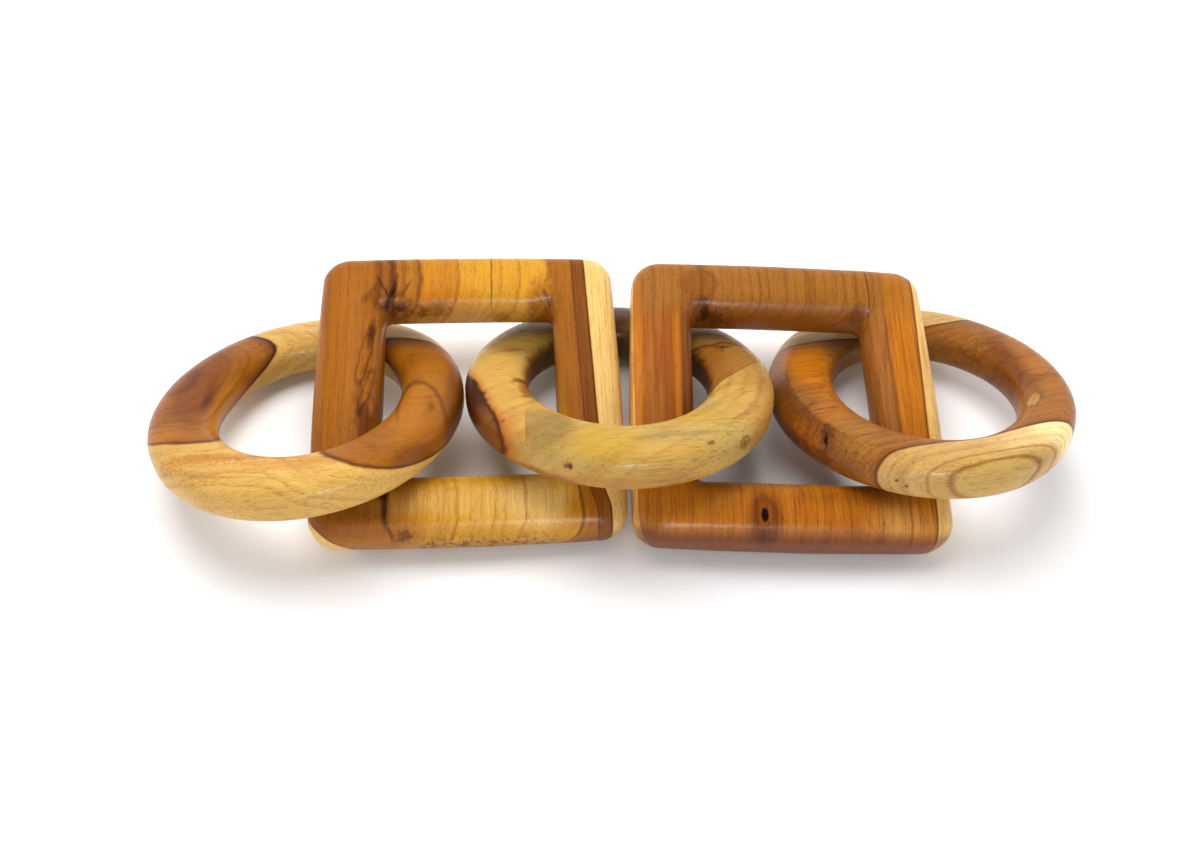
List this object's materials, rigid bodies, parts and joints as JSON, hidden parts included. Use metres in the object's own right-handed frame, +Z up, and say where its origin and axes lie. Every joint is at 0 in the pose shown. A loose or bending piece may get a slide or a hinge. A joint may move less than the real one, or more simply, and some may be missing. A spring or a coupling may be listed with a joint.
{
  "type": "whimsy carved chain",
  "caption": "Loose chain of carved wooden rings and rounded squares, each a closed link through its neighbours, lying on a table.",
  "frame": {"origin": "on the table, under the middle of the chain's plan", "axes": "+X along the chain to the right ring, +Y away from the viewer, +Z up"},
  "size_m": [0.5032, 0.1794, 0.0728],
  "materials": {
    "left_ring_wood": "satin varnish, pale sapwood with brown heartwood",
    "left_square_wood": "satin varnish, golden brown with dark streaks and a pale sapwood edge",
    "middle_ring_wood": "satin varnish, olive yellow with grey streaks",
    "right_square_wood": "satin varnish, reddish brown with fine cross grain",
    "right_ring_wood": "satin varnish, brown with a pale end that shows growth rings"
  },
  "bodies": {
    "root": {"left_ring": "left_ring_wood", "left_square": "left_square_wood", "middle_ring": "middle_ring_wood", "right_square": "right_square_wood", "right_ring": "right_ring_wood"}
  },
  "joints": []
}
